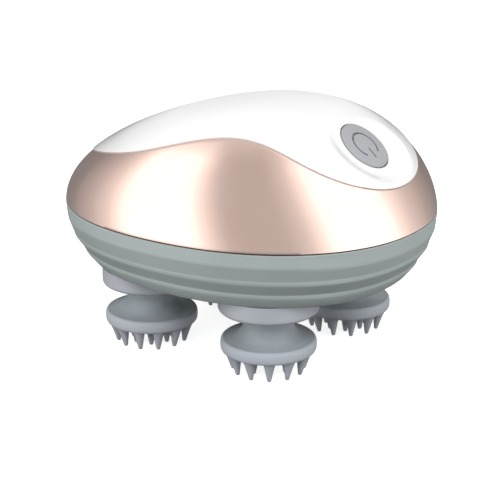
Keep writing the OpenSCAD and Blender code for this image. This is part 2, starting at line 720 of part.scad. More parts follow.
// ================================================================ battery
battery_gap = 3;           // between the motor's can and the cradle
cradle_wall = 1.4;
cell_play = 1.2;           // room for a contact spring at each end of the cell
cradle_slot = 8;           // width of the slot under the cell
cell_fit = 0.1;
terminal_radius = 3;
cell_x = motor_x - motor_diameter / 2 - battery_gap - cradle_wall - cell_diameter / 2;
cell_z = cover_top_z + cradle_wall + cell_diameter / 2;
module battery_cell() {
    color([0.2, 0.42, 0.62]) translate([cell_x, cell_length / 2, cell_z]) rotate([90, 0, 0]) {
        cylinder(h = cell_length, r = cell_diameter / 2);
        translate([0, 0, cell_length - 0.1]) cylinder(h = 0.9, r = terminal_radius);
    }
}
module battery_cradle() {
    half = cell_diameter / 2 + cradle_wall;
    long = cell_length + 2 * (cell_play + cradle_wall);
    color([0.3, 0.3, 0.32]) difference() {
        translate([cell_x - half, -long / 2, cover_top_z])
            cube([2 * half, long, cell_diameter / 2 + cradle_wall]);
        translate([cell_x, cell_length / 2, cell_z]) rotate([90, 0, 0])
            cylinder(h = cell_length, r = cell_diameter / 2 + cell_fit);
        translate([cell_x - cradle_slot / 2, -cell_length / 2 - cell_play, cell_z - cradle_slot / 2])
            cube([cradle_slot, cell_length + 2 * cell_play, 2 * cradle_slot]);
    }
}

// ================================================================ charging socket
module charging_socket() {
    color([0.1, 0.1, 0.11]) at_socket() difference() {
        union() {
            translate([0, 0, -socket_neck]) cylinder(h = socket_neck, r = socket_radius);
            translate([0, 0, -socket_depth - 2]) cylinder(h = socket_depth + 2 - socket_neck, r = 4.4);
        }
        translate([0, 0, -socket_depth]) cylinder(h = socket_depth + 1, r = socket_bore / 2);
    }
}

top_cover();
side_band();
power_button();
button_guide();
grip_base();
parting_gasket();
head_collar(0);  // collar_nose_left
head_collar(1);  // collar_tail_left
head_collar(2);  // collar_tail_right
head_collar(3);  // collar_nose_right
massage_head(0);  // head_nose_left
massage_head(1);  // head_tail_left
massage_head(2);  // head_tail_right
massage_head(3);  // head_nose_right
head_core(0);  // core_nose_left
head_core(1);  // core_tail_left
head_core(2);  // core_tail_right
head_core(3);  // core_nose_right
head_spindle(0);  // spindle_nose_left
head_spindle(1);  // spindle_tail_left
head_spindle(2);  // spindle_tail_right
head_spindle(3);  // spindle_nose_right
spindle_bush(0);  // bush_nose_left
spindle_bush(1);  // bush_tail_left
spindle_bush(2);  // bush_tail_right
spindle_bush(3);  // bush_nose_right
lip_seal(0);  // seal_nose_left
lip_seal(1);  // seal_tail_left
lip_seal(2);  // seal_tail_right
lip_seal(3);  // seal_nose_right
output_gear(0);  // gear_nose_left
output_gear(1);  // gear_tail_left
output_gear(2);  // gear_tail_right
output_gear(3);  // gear_nose_right
sun_gear();
sun_axle();
sun_clip();
idler_gear();
idler_axle();
motor_pinion();
motor_shaft();
motor_can();
motor_end_cap();
motor_screws();
gear_cover();
cover_screws();
battery_cell();
battery_cradle();
circuit_board();
board_bracket();
board_screws();
switch_body();
switch_plunger();
charging_socket();
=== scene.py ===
"""Looks and studio for a cordless scalp massager with four rotating silicone heads.

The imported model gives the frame: every joint, hidden piece and size. This script dresses
the pieces that show: the plated and glossy shells, the stepped grip, the engraved button,
the collars and the silicone heads. All sizes here are in millimetres until a mesh is made.
"""

from __future__ import annotations

import logging
import math
from dataclasses import dataclass, field
from enum import Enum
from typing import Callable, Sequence

import bpy
from mathutils import Matrix, Vector

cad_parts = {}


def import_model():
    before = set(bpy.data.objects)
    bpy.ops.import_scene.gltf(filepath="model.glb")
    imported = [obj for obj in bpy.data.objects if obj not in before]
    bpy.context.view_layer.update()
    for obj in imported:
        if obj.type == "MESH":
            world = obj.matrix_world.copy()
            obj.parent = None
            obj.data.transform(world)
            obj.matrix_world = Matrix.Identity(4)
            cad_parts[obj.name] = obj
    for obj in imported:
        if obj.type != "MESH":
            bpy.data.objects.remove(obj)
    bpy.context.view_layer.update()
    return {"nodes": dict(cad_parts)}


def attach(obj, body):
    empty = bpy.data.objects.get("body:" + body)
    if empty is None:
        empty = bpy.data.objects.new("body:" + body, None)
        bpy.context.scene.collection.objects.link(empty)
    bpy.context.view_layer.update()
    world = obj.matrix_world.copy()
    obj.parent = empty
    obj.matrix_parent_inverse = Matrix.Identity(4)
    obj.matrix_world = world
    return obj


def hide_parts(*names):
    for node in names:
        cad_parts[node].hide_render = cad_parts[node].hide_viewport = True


LOG = logging.getLogger("massager")
MM = 0.001
DRIVE_RADIUS = 33.0  # from the object's middle to a head's axis
BUTTON_SET_BACK = 17.5  # from the nose to the button's middle, in plan
HEAD_PHASES = (27, 6, 3, 20)  # where each head happens to have stopped, in degrees
HALVINGS = 24  # steps of a search, which leave less than a ten-millionth
SENSOR_MM = 36.0
Place = Callable[[float, float], tuple[float, float, float]]


class Quarter(Enum):
    """The four places of a head, as turns of 90 degrees from the nose's left side."""

    NOSE_LEFT = 0
    TAIL_LEFT = 1
    TAIL_RIGHT = 2
    NOSE_RIGHT = 3

    @property
    def word(self) -> str:
        """Ending of the node names at this place."""
        return self.name.lower()

    @property
    def angle(self) -> float:
        """Direction of this place in plan, in degrees."""
        return 45 + 90 * self.value


# ------------------------------------------------------------------ finishes
def linear(hex_colour: str) -> tuple[float, float, float, float]:
    """Turns an sRGB colour into the linear one that shaders take.

    Args:
        hex_colour: six hex digits, such as "D7A999".

    Returns:
        Red, green, blue and an alpha of one.
    """
    parts = [int(hex_colour[i : i + 2], 16) / 255 for i in (0, 2, 4)]
    red, green, blue = (
        c / 12.92 if c <= 0.04045 else ((c + 0.055) / 1.055) ** 2.4 for c in parts
    )
    return (red, green, blue, 1.0)


def grey(value: float) -> tuple[float, float, float, float]:
    """A neutral light of this strength."""
    return (value, value, value, 1.0)


def per_mm(size_mm: float) -> float:
    """Scale of a noise whose features are this many millimetres apart."""
    return 1 / (size_mm * MM)


def add_node(
    tree: bpy.types.NodeTree,
    kind: str,
    inputs: dict[str, object] | None = None,
    **settings: object,
) -> bpy.types.Node:
    """Adds one node to a tree, with its settings, values and links.

    Args:
        tree: the node tree of a material or the world.
        kind: the node's type name.
        inputs: a value or an output socket for each named input.
        settings: attributes of the node itself.

    Returns:
        The new node.
    """
    made = tree.nodes.new(kind)
    for name, value in settings.items():
        setattr(made, name, value)
    for name, value in (inputs or {}).items():
        socket = made.inputs[int(name)] if name.isdigit() else made.inputs[name]
        if isinstance(value, bpy.types.NodeSocket):
            tree.links.new(value, socket)
        else:
            socket.default_value = value
    return made


def ramp(node: bpy.types.Node, stops: Sequence[tuple[float, tuple]]) -> None:
    """Sets the stops of a colour ramp.

    Args:
        node: the colour ramp node.
        stops: position and colour of each stop, in rising order.
    """
    elements = node.color_ramp.elements
    while len(elements) < len(stops):
        elements.new(0.5)
    for element, (position, colour) in zip(elements, stops):
        element.position = position
        element.color = colour


# Where a noise turns from one colour to the other, and from smooth to dull
TINT_SPREAD = (0.35, 0.65)
DULL_SPREAD = (0.3, 0.7)
# Height over which the painted light on the lower parts fades in
PAINTED_LIGHT_BLEND_MM = 0.6
COAT_ROUGHNESS = 0.06
SHEEN_ROUGHNESS = 0.4
SCATTER_MM = 0.5


@dataclass(frozen=True)
class Finish:
    """One real material as it leaves its maker.

    Attributes:
        name: common name of the material and how its surface was made.
        colour: its usual colour, as sRGB hex.
        shade: the colour of its slightly darker patches.
        patch_mm: distance between those patches.
        rough: roughness of the smooth places and of the dull ones.
        grain_mm: distance between the bumps of its surface.
        relief_mm: height of those bumps.
        metal: one for bare or plated metal.
        ior: refractive index.
        coat: strength of a clear outer skin.
        sheen: strength of the soft bloom of rubber.
        subsurface: how much light goes into the surface.
        glow: light that it gives off, for a lit table.
        painted_light_colour: paler colour of its lower parts, a painted light as if lit from below.
        painted_light_below_mm: height under which that painted light is laid on.
    """

    name: str
    colour: str
    shade: str
    patch_mm: float = 12.0
    rough: tuple[float, float] = (0.4, 0.5)
    grain_mm: float = 0.35
    relief_mm: float = 0.01
    metal: float = 0.0
    ior: float = 1.5
    coat: float = 0.0
    sheen: float = 0.0
    subsurface: float = 0.0
    glow: float = 0.0
    painted_light_colour: str = ""
    painted_light_below_mm: float = 0.0

    def make(self) -> bpy.types.Material:
        """Builds the material, or finds it if it is there already.

        Returns:
            The material.
        """
        known = bpy.data.materials.get(self.name)
        if known:
            return known
        material = bpy.data.materials.new(self.name)
        material.use_nodes = True
        tree = material.node_tree
        tree.nodes.clear()
        place = add_node(tree, "ShaderNodeTexCoord").outputs["Object"]
        patches = add_node(
            tree, "ShaderNodeTexNoise",
            {"Vector": place, "Scale": per_mm(self.patch_mm), "Detail": 3.0},
        )
        tint = add_node(tree, "ShaderNodeValToRGB", {"Fac": patches.outputs["Fac"]})
        ramp(tint, list(zip(TINT_SPREAD, (linear(self.shade), linear(self.colour)))))
        # Painted light: below a height the colour turns paler, as if lit from below
        if self.painted_light_colour:
            height = add_node(tree, "ShaderNodeSeparateXYZ", {"Vector": place}).outputs["Z"]
            painted_light_share = add_node(
                tree, "ShaderNodeMapRange",
                {"Value": height, "From Min": (self.painted_light_below_mm + PAINTED_LIGHT_BLEND_MM) * MM,
                 "From Max": (self.painted_light_below_mm - PAINTED_LIGHT_BLEND_MM) * MM},
            )
            tint = add_node(
                tree, "ShaderNodeMixRGB",
                {"0": painted_light_share.outputs["Result"], "1": tint.outputs["Color"],
                 "2": linear(self.painted_light_colour)},
            )
        dullness = add_node(
            tree, "ShaderNodeMapRange",
            {"Value": patches.outputs["Fac"], "From Min": DULL_SPREAD[0],
             "From Max": DULL_SPREAD[1], "To Min": self.rough[0], "To Max": self.rough[1]},
        )
        grain = add_node(
            tree, "ShaderNodeTexNoise",
            {"Vector": place, "Scale": per_mm(self.grain_mm), "Detail": 2.0},
        )
        bump = add_node(
            tree, "ShaderNodeBump",
            {"Height": grain.outputs["Fac"], "Distance": self.relief_mm * MM, "Strength": 1.0},
        )
        shader = add_node(
            tree, "ShaderNodeBsdfPrincipled",
            {"Base Color": tint.outputs["Color"], "Roughness": dullness.outputs["Result"],
             "Normal": bump.outputs["Normal"], "Metallic": self.metal, "IOR": self.ior,
             "Coat Weight": self.coat, "Coat Roughness": COAT_ROUGHNESS,
             "Sheen Weight": self.sheen, "Sheen Roughness": SHEEN_ROUGHNESS,
             "Subsurface Weight": self.subsurface, "Subsurface Scale": SCATTER_MM * MM,
             "Emission Color": grey(1.0), "Emission Strength": self.glow},
        )
        add_node(tree, "ShaderNodeOutputMaterial", {"Surface": shader.outputs["BSDF"]})
        return material

    def put_on(self, piece: bpy.types.Object) -> None:
        """Makes this the only material of a piece."""
        piece.data.materials.clear()
        piece.data.materials.append(self.make())


# Glossy moulded ABS: bright, with the faint waviness of a polished tool
GLOSS_WHITE = Finish("ABS, gloss moulded white", "F1F1F0", "EFEFEF", 20, (0.1, 0.14), 6.0, 0.0015,
                     ior=1.54, coat=0.5)
# Vacuum-metallised ABS: a tinted mirror, a little softened by its lacquer
ROSE_GOLD = Finish("ABS, vacuum metallised rose gold", "E7CBC0", "E4C7BB", 25, (0.16, 0.18), 5.0,
                   0.0006, metal=1.0)
# Satin moulded ABS: the spark-eroded tool leaves a fine even grain. The real one, of about
# 0.05 mm, is too fine to show, so it is drawn coarser here, as on the other finishes
SATIN_GREY = Finish("ABS, satin moulded grey", "A2ACAB", "9EA8A7", 15, (0.42, 0.5), 0.4, 0.006,
                    ior=1.54)
SATIN_PALE = Finish("ABS, satin moulded pale grey", "A8ACB3", "A4A8AF", 12, (0.38, 0.46), 0.4, 0.01,
                    ior=1.54)
BUTTON_GREY = Finish("ABS, satin moulded button grey", "A0A2A6", "9C9EA2", 8, (0.4, 0.5), 0.3, 0.01,
                     ior=1.54)
# Moulded silicone: soft and matt, with a slight bloom, and painted light that makes its lip and
# fingers paler
SILICONE = Finish("Silicone rubber, moulded grey", "979FA4", "90989D", 6, (0.45, 0.55), 0.5, 0.012,
                  ior=1.41, sheen=0.15, subsurface=0.1, painted_light_colour="A9AEB6", painted_light_below_mm=10.7)
# Extruded EPDM: dull and dark, a plain line in the joint
GASKET = Finish("EPDM rubber, extruded brown", "33241F", "2B1E1A", 6, (0.55, 0.7), 0.4, 0.01,
                ior=1.52)
# Unseen mouldings and rubbers keep the plain, slightly dull face of their tool
NATURAL_ABS = Finish("ABS, moulded natural", "DEDCD6", "D6D4CE", 15, (0.4, 0.5), 0.5, 0.01,
                     ior=1.54)
ACETAL = Finish("Acetal, moulded natural", "E8E4D8", "E0DCCF", 8, (0.35, 0.45), 0.4, 0.008,
                ior=1.48)
BLACK_ABS = Finish("ABS, moulded black", "1E1E20", "191A1B", 10, (0.45, 0.55), 0.4, 0.012,
                   ior=1.54)
BLACK_RUBBER = Finish("Nitrile rubber, moulded black", "202021", "1A1A1B", 5, (0.6, 0.7), 0.4,
                      0.01, ior=1.52)
# Cut and pressed metals: bright, with a fine grain from the lathe, the hob or the powder
STEEL = Finish("Steel, turned", "B9BBBF", "AFB1B5", 4, (0.22, 0.34), 0.25, 0.004, metal=1.0)
BRONZE = Finish("Bronze, sintered", "B98F55", "A57E49", 2, (0.4, 0.5), 0.2, 0.008, metal=1.0)
BRASS = Finish("Brass, hobbed", "CDAA62", "C29E58", 4, (0.25, 0.34), 0.25, 0.004, metal=1.0)
# Films over the cell and the board: a thin even gloss
WRAP = Finish("PVC, shrunk wrap blue", "3A6C9C", "34638F", 9, (0.25, 0.33), 2.0, 0.01, ior=1.53)
BOARD = Finish("Glass epoxy, lacquered green", "22603F", "1D5537", 3, (0.3, 0.4), 0.6, 0.01,
               ior=1.55)
# Opal acrylic lit from below: the photographer's table that swallows shadows
LIT_ACRYLIC = Finish("Acrylic, opal cast and lit", "F4F4F4", "F2F2F2", 300, (0.8, 0.9), 0.6, 0.001,
                     glow=0.8)


# ------------------------------------------------------------------ workshop
def deselect() -> None:
    """Leaves edit mode and selects nothing."""
    if bpy.context.object and bpy.context.object.mode != "OBJECT":
        bpy.ops.object.mode_set(mode="OBJECT")
    bpy.ops.object.select_all(action="DESELECT")


def pick(*pieces: bpy.types.Object) -> None:
    """Selects these pieces alone and makes the first one active.

    Args:
        pieces: the pieces to select.
    """
    deselect()
    for piece in pieces:
        piece.select_set(True)
    bpy.context.view_layer.objects.active = pieces[0]


def new_piece(name: str) -> bpy.types.Object:
    """Names the primitive that was just added.

    Args:
        name: name for the piece and its mesh.

    Returns:
        The piece.
    """
    piece = bpy.context.object
    piece.name = name
    piece.data.name = name
    return piece


def close_up(piece: bpy.types.Object, gap_mm: float = 0.001) -> None:
    """Merges doubles and turns every face outwards.

    Args:
        piece: the piece to close.
        gap_mm: points nearer than this become one.
    """
    pick(piece)
    bpy.ops.object.mode_set(mode="EDIT")
    bpy.ops.mesh.select_all(action="SELECT")
    bpy.ops.mesh.remove_doubles(threshold=gap_mm * MM)
    bpy.ops.mesh.dissolve_degenerate(threshold=gap_mm * MM)
    bpy.ops.mesh.normals_make_consistent(inside=False)
    bpy.ops.object.mode_set(mode="OBJECT")


def smooth(piece: bpy.types.Object, angle: float = 32.0) -> None:
    """Shades a piece smooth where its faces meet at less than an angle in degrees."""
    pick(piece)
    bpy.ops.object.shade_smooth_by_angle(angle=math.radians(angle))


def apply_modifier(piece: bpy.types.Object, kind: str, **settings: object) -> None:
    """Adds one modifier and applies it.

    Args:
        piece: the piece it works on.
        kind: the modifier's type name.
        settings: attributes of the modifier.
    """
    pick(piece)
    modifier = piece.modifiers.new(kind.title(), kind)
    for name, value in settings.items():
        setattr(modifier, name, value)
    bpy.ops.object.modifier_apply(modifier=modifier.name)


def wrapped_sheet(name: str, columns: int, rows: int, place: Place) -> bpy.types.Object:
    """Wraps a grid into a closed skin.

    Args:
        name: name of the piece.
        columns: faces round the piece.
        rows: faces along its section.
        place: gives the point in millimetres for a share round and a share along.

    Returns:
        The closed piece.
    """
    deselect()
    bpy.ops.mesh.primitive_grid_add(x_subdivisions=columns, y_subdivisions=rows, size=1)
    piece = new_piece(name)
    for vertex in piece.data.vertices:
        around = round((vertex.co.x + 0.5) * columns) / columns
        along = round((vertex.co.y + 0.5) * rows) / rows
        vertex.co = Vector(place(around, along)) * MM
    close_up(piece)
    return piece


def turned(
    name: str, section: Sequence[tuple[float, float]], steps: int = 96
) -> bpy.types.Object:
    """Spins a closed section about the upright axis.

    Args:
        name: name of the piece.
        section: radius and height of each corner in millimetres, in order round it.
        steps: faces round the piece.

    Returns:
        The turned piece, about its own upright axis.
    """
    deselect()
    bpy.ops.mesh.primitive_circle_add(vertices=len(section), radius=1, fill_type="NOTHING")
    piece = new_piece(name)
    for vertex, (radius, height) in zip(piece.data.vertices, section):
        vertex.co = Vector((radius, 0, height)) * MM
    bpy.ops.object.mode_set(mode="EDIT")
    bpy.ops.mesh.select_all(action="SELECT")
    bpy.ops.mesh.spin(
        steps=steps, dupli=False, angle=math.tau, center=(0, 0, 0), axis=(0, 0, 1)
    )
    bpy.ops.object.mode_set(mode="OBJECT")
    close_up(piece, 0.004)
    return piece


def move(piece: bpy.types.Object, matrix: Matrix) -> bpy.types.Object:
    """Moves a piece's mesh, so that its object stays at the origin.

    Args:
        piece: the piece to move.
        matrix: the move in metres.

    Returns:
        The same piece.
    """
    piece.data.transform(matrix)
    piece.data.update()
    return piece


def shift(x: float = 0, y: float = 0, z: float = 0) -> Matrix:
    """A move by this many millimetres."""
    return Matrix.Translation(Vector((x, y, z)) * MM)


def turn(degrees: float, axis: str = "Z") -> Matrix:
    """A turn by this many degrees about an axis through the origin."""
    return Matrix.Rotation(math.radians(degrees), 4, axis)


def join(*pieces: bpy.types.Object) -> bpy.types.Object:
    """Joins pieces into the first one.

    Args:
        pieces: the pieces to join.

    Returns:
        The first piece, now whole.
    """
    pick(*pieces)
    bpy.ops.object.join()
    return pieces[0]


def copy_of(piece: bpy.types.Object, name: str) -> bpy.types.Object:
    """Copies a piece together with its mesh.

    Args:
        piece: the piece to copy.
        name: name of the copy.

    Returns:
        The copy.
    """
    twin = piece.copy()
    twin.data = piece.data.copy()
    twin.name = twin.data.name = name
    bpy.context.scene.collection.objects.link(twin)
    return twin


def cut(piece: bpy.types.Object, *tools: bpy.types.Object) -> None:
    """Cuts a piece with each tool in turn and clears the tools away.

    Args:
        piece: the piece to cut.
        tools: closed pieces whose space is taken out.
    """
    for tool in tools:
        apply_modifier(piece, "BOOLEAN", operation="DIFFERENCE", object=tool, solver="EXACT")
        bpy.data.objects.remove(tool)


def rod(radius: float, low: float, high: float, sides: int = 96) -> bpy.types.Object:
    """Makes an upright cylinder on the Z axis, as a cutting tool.

    Args:
        radius: its radius in millimetres.
        low: height of its lower face.
        high: height of its upper face.
        sides: faces round it.

    Returns:
        The cylinder.
    """
    deselect()
    bpy.ops.mesh.primitive_cylinder_add(
        vertices=sides, radius=radius * MM, depth=(high - low) * MM,
        location=(0, 0, (high + low) / 2 * MM),
    )
    piece = new_piece("tool")
    bpy.ops.object.transform_apply(location=True, rotation=False, scale=False)
    return piece


def hand_over(
    piece: bpy.types.Object, finish: Finish, body: str, slot: str, *nodes: str
) -> None:
    """Dresses a finished piece and gives it to its body.

    Args:
        piece: the finished piece.
        finish: what it is made of.
        body: the body that it rides on.
        slot: the record's material slot; not used.
        nodes: the model's nodes that it stands for.
    """
    finish.put_on(piece)
    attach(piece, body)
    if nodes:
        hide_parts(*nodes)
    LOG.info("%s: %d faces on %s", piece.name, len(piece.data.polygons), body)


# ------------------------------------------------------------------ the body's form
def power_of(value: float, exponent: float) -> float:
    """A power that keeps the value's sign."""
    return math.copysign(abs(value) ** exponent, value)


def soft_step(value: float) -> float:
    """A step from zero to one that starts and ends softly."""
    value = min(1.0, max(0.0, value))
    return value * value * (3 - 2 * value)


def last_level(holds: Callable[[float], bool]) -> float:
    """Searches for the level from zero to one up to which a test holds.

    Args:
        holds: the test.

    Returns:
        The level.
    """
    low, high = 0.0, 1.0
    for _ in range(HALVINGS):
        middle = (low + high) / 2
        low, high = (middle, high) if holds(middle) else (low, middle)
    return (low + high) / 2


@dataclass(frozen=True)
class BodyForm:
    """The surfaces that the shells share, in millimetres.

    Attributes:
        length: length over the parting line.
        width: width over the parting line.
        dome: height of the crown over the parting line.
        crown_forward: how far the crown's top lies towards the nose.
        parting: height of the parting line.
        wall: thickness of the shells.
        plan_power: squareness of the oval in plan.
        side_power: squareness of the dome seen from the side.
        cross_power: squareness of the dome seen from the nose.
        crown_lean: how late the dome leans forward as it rises.
        cap_nose: distance of the cap's edge from the nose.
        cap_tail: distance of the cap's edge from the tail.
        cap_width: width of the cap without its waist.
        cap_power: squareness of the cap in plan.
        cap_waist: how far each side of the cap draws in at its waist.
        waist_at: place of the waist along the object.
        waist_spread: length over which the waist fades out.
        grip: height of the grip under the parting line.
        tuck: how far the grip's foot lies inside the parting line.
        tuck_power: how late the grip tucks in as it goes down.
        step_pitch: height of one step of the grip.
        step_depth: how far a step stands out.
        step_return: share of a step's height in which it tucks back in.
        tail_fade: cosine where the steps start at the tail, and its spread.
        nose_fade: cosine where the steps start to fade at the nose, and its spread.
        nose_loss: share of the steps' depth that is lost at the nose.
        step_gain: how fast a step takes its own section as it grows.
        plain_foot: least height left under the last step.
    """

    length: float = 124.0
    width: float = 106.0
    dome: float = 35.6
    crown_forward: float = 11.6
    parting: float = 46.0
    wall: float = 2.2
    plan_power: float = 2.2
    side_power: float = 1.8
    cross_power: float = 2.26
    crown_lean: float = 2.04
    cap_nose: float = 5.0
    cap_tail: float = 7.5
    cap_width: float = 86.0
    cap_power: float = 2.1
    cap_waist: float = 10.5
    waist_at: float = 20.0
    waist_spread: float = 25.5
    grip: float = 20.0
    tuck: float = 9.0
    tuck_power: float = 2.1
    step_pitch: float = 5.3
    step_depth: float = 0.36
    step_return: float = 0.28
    tail_fade: tuple[float, float] = (-0.9, 0.5)
    nose_fade: tuple[float, float] = (0.6, 0.35)
    nose_loss: float = 0.55
    step_gain: float = 1.6
    plain_foot: float = 1.5

    def plan(self, angle: float, inset: float = 0.0) -> tuple[float, float]:
        """Point of the squared oval in plan.

        Args:
            angle: direction in plan.
            inset: distance inside the parting line.

        Returns:
            The point in millimetres.
        """
        x = power_of(math.cos(angle), 2 / self.plan_power)
        y = power_of(math.sin(angle), 2 / self.plan_power)
        return ((self.length / 2 - inset) * x, (self.width / 2 - inset) * y)

    def dome_at(self, angle: float, level: float, inset: float) -> tuple[float, float, float]:
        """Point of the dome.

        Args:
            angle: direction in plan.
            level: share of the dome's height.
            inset: distance inside the outer surface.

        Returns:
            The point in millimetres.
        """
        level = min(1.0, max(0.0, level))
        along = max(0.0, 1 - level**self.side_power) ** (1 / self.side_power)
        across = max(0.0, 1 - level**self.cross_power) ** (1 / self.cross_power)
        x, y = self.plan(angle, inset)
        return (
            self.crown_forward * level**self.crown_lean + x * along,
            y * across,
            self.parting + (self.dome - inset) * level,
        )

    def outside_cap(self, x: float, y: float) -> bool:
        """Tells whether a point in plan lies outside the cap's edge.

        Args:
            x: place along the object.
            y: place across it.

        Returns:
            True outside the edge.
        """
        middle = (self.cap_tail - self.cap_nose) / 2
        half = (self.length - self.cap_nose - self.cap_tail) / 2
        waist = self.cap_waist * math.exp(-(((x - self.waist_at) / self.waist_spread) ** 2))
        side = self.cap_width / 2 - waist
        return abs((x - middle) / half) ** self.cap_power + abs(y / side) ** self.cap_power > 1

    def edge_level(self, angle: float) -> float:
        """Share of the dome's height at which it meets the cap's edge."""
        return last_level(lambda level: self.outside_cap(*self.dome_at(angle, level, 0)[:2]))

    def fade(self, angle: float) -> float:
        """Share of the steps' depth that is left in one direction.

        Args:
            angle: direction in plan.

        Returns:
            A share from zero to one.
        """
        facing = math.cos(angle)
        at_tail = soft_step((facing - self.tail_fade[0]) / self.tail_fade[1])
        at_nose = soft_step((facing - self.nose_fade[0]) / self.nose_fade[1])
        return at_tail * (1 - self.nose_loss * at_nose)

    def grip_inset(self, depth: float) -> float:
        """How far the grip lies inside the parting line at a depth under it."""
        return self.tuck * (depth / self.grip) ** self.tuck_power

    @property
    def step_count(self) -> int:
        """How many steps the grip has."""
        return math.floor((self.grip - self.plain_foot) / self.step_pitch)

    def step_inset(self, step: int, share: float, angle: float) -> float:
        """Inset of a step: it runs straight down, stands out a little and tucks back in.

        Args:
            step: the step's number from the parting line.
            share: share of the step's height from its top.
            angle: direction in plan.

        Returns:
            The distance inside the parting line in millimetres.
        """
        top = self.grip_inset(step * self.step_pitch)
        foot = self.grip_inset((step + 1) * self.step_pitch)
        plain = self.grip_inset((step + share) * self.step_pitch)
        brow = max(0.0, foot - self.step_depth * self.fade(angle))
        flat = 1 - self.step_return
        if share < flat:
            stepped = top + (brow - top) * share / flat
        else:
            tuck_in = math.cos(math.pi / 2 * (share - flat) / self.step_return)
            stepped = foot + (brow - foot) * tuck_in
        return plain + (stepped - plain) * min(1.0, self.step_gain * self.fade(angle))

    def nose_point(self, set_back: float) -> Vector:
        """Finds a point of the dome's profile.

        Args:
            set_back: its distance in plan from the nose.

        Returns:
            The point in millimetres.
        """
        at = self.length / 2 - set_back
        return Vector(self.dome_at(0, last_level(lambda z: self.dome_at(0, z, 0)[0] > at), 0))


@dataclass
class UpperShell:
    """The glossy cap, the plated band and the strip in the parting line.

    Attributes:
        form: the surfaces that the shells share.
        cap_step: how far the cap stands out from the band.
        columns: faces round each piece.
        rings: faces from the cap's edge to its crown.
        band_rows: faces from the band's foot to its top.
        edge_round: radius of the cap's edge.
        edge_shares: shares of the way up at which that radius runs out.
        edge_drop: share of the radius that is left at the first of them.
        foot_roll: shares and insets of the band's rolled foot.
        top_roll: shares and insets of the band's rolled top.
        seam: height of the strip in the parting line.
        strip_inset: how far the strip lies inside the parting line.
        edges: level of the cap's edge in every column.
    """

    form: BodyForm
    cap_step: float = 0.4
    columns: int = 320
    rings: int = 72
    band_rows: int = 28
    edge_round: float = 0.35
    edge_shares: tuple[float, float] = (0.0022, 0.006)
    edge_drop: float = 0.29
    foot_roll: tuple[tuple[float, float], ...] = ((0.0, 0.3), (0.001, 0.06), (0.004, 0.0))
    top_roll: tuple[tuple[float, float], ...] = ((0.988, 0.0), (0.997, 0.12), (1.0, 0.45))
    seam: float = 0.5
    strip_inset: float = 0.7
    edges: list[float] = field(default_factory=list)

    def __post_init__(self) -> None:
        """Finds the cap's edge once for every column."""
        self.edges = [
            self.form.edge_level(math.tau * i / self.columns) for i in range(self.columns + 1)
        ]

    def _edge(self, around: float) -> float:
        """Level of the cap's edge at a share round the shell."""
        return self.edges[round(around * self.columns) % self.columns]

    def cap(self, button: PowerButton) -> bpy.types.Object:
        """Lofts the cap: its inner face, its rounded edge and its crown.

        Args:
            button: the power button, round which the cap is dished.

        Returns:
            The cap without the button's well.
        """
        wall, face, soft = self.form.wall, -self.cap_step, self.edge_round
        crown = [k / self.rings for k in range(self.rings)]
        half_round, full_round = self.edge_shares
        stations = [(1.0, wall)] + [(c, wall) for c in reversed(crown)]
        stations += [(0.0, wall * 0.5), (0.0, face + soft)]
        stations += [(half_round, face + self.edge_drop * soft), (full_round, face)]
        stations += [(c, face) for c in crown[1:]] + [(1.0, face)]

        def place(around: float, along: float) -> tuple[float, float, float]:
            """Finds a point of the cap.

            Args:
                around: share of the way round it.
                along: share of the way along its section.

            Returns:
                The point in millimetres.
            """
            share, inset = stations[round(along * (len(stations) - 1))]
            rise = math.asin(self._edge(around))
            level = math.sin(rise + (math.pi / 2 - rise) * share)
            point = Vector(self.form.dome_at(math.tau * around, level, inset))
            return button.dished(point, max(0.0, inset))

        return wrapped_sheet("gloss_cap", self.columns, len(stations) - 1, place)

    def band(self) -> bpy.types.Object:
        """Lofts the plated band between the parting line and the cap's edge.

        Returns:
            The band.
        """
        wall = self.form.wall
        up = [k / self.band_rows for k in range(self.band_rows)]
        stations = [(0.0, wall), *self.foot_roll]
        stations += [(u, 0.0) for u in up[1:]]
        stations += [*self.top_roll, (1.0, wall / 2), (1.0, wall)]
        stations += [(u, wall) for u in reversed(up[::3])]

        def place(around: float, along: float) -> tuple[float, float, float]:
            """Finds a point of the band.

            Args:
                around: share of the way round it.
                along: share of the way along its section.

            Returns:
                The point in millimetres.
            """
            share, inset = stations[round(along * (len(stations) - 1))]
            foot = self.seam / 2 / (self.form.dome - inset)
            level = foot + (self._edge(around) - foot) * share
            return self.form.dome_at(math.tau * around, level, inset)

        return wrapped_sheet("plated_band", self.columns, len(stations) - 1, place)

    def strip(self) -> bpy.types.Object:
        """Lofts the strip that seals the parting line.

        Returns:
            The strip.
        """
        front, back = self.strip_inset, self.form.wall
        corners = [(front, -0.5), (front, 0.5), (back, 0.5), (back, -0.5), (front, -0.5)]
        sides = len(corners) - 1

        def place(around: float, along: float) -> tuple[float, float, float]:
            """Finds a point of the strip.

            Args:
                around: share of the way round it.
                along: share of the way along its section.

            Returns:
                The point in millimetres.
            """
            inset, height = corners[round(along * sides)]
            x, y = self.form.plan(math.tau * around, inset)
            return (x, y, self.form.parting + height * self.seam)

        return wrapped_sheet("parting_strip", self.columns, sides, place)

    def build(self, button: PowerButton) -> None:
        """Makes the three pieces.

        Args:
            button: the power button, which gives its dish and its well in the cap.
        """
        cap = self.cap(button)
        cut(cap, *button.well_tools())
        close_up(cap)
        smooth(cap, 30)
        hand_over(cap, GLOSS_WHITE, "shell", "white_shell", "top_cover")
        band = self.band()
        smooth(band, 40)
        hand_over(band, ROSE_GOLD, "shell", "rose_gold", "side_band")
        strip = self.strip()
        smooth(strip)
        hand_over(strip, GASKET, "shell", "gasket_brown", "parting_gasket")


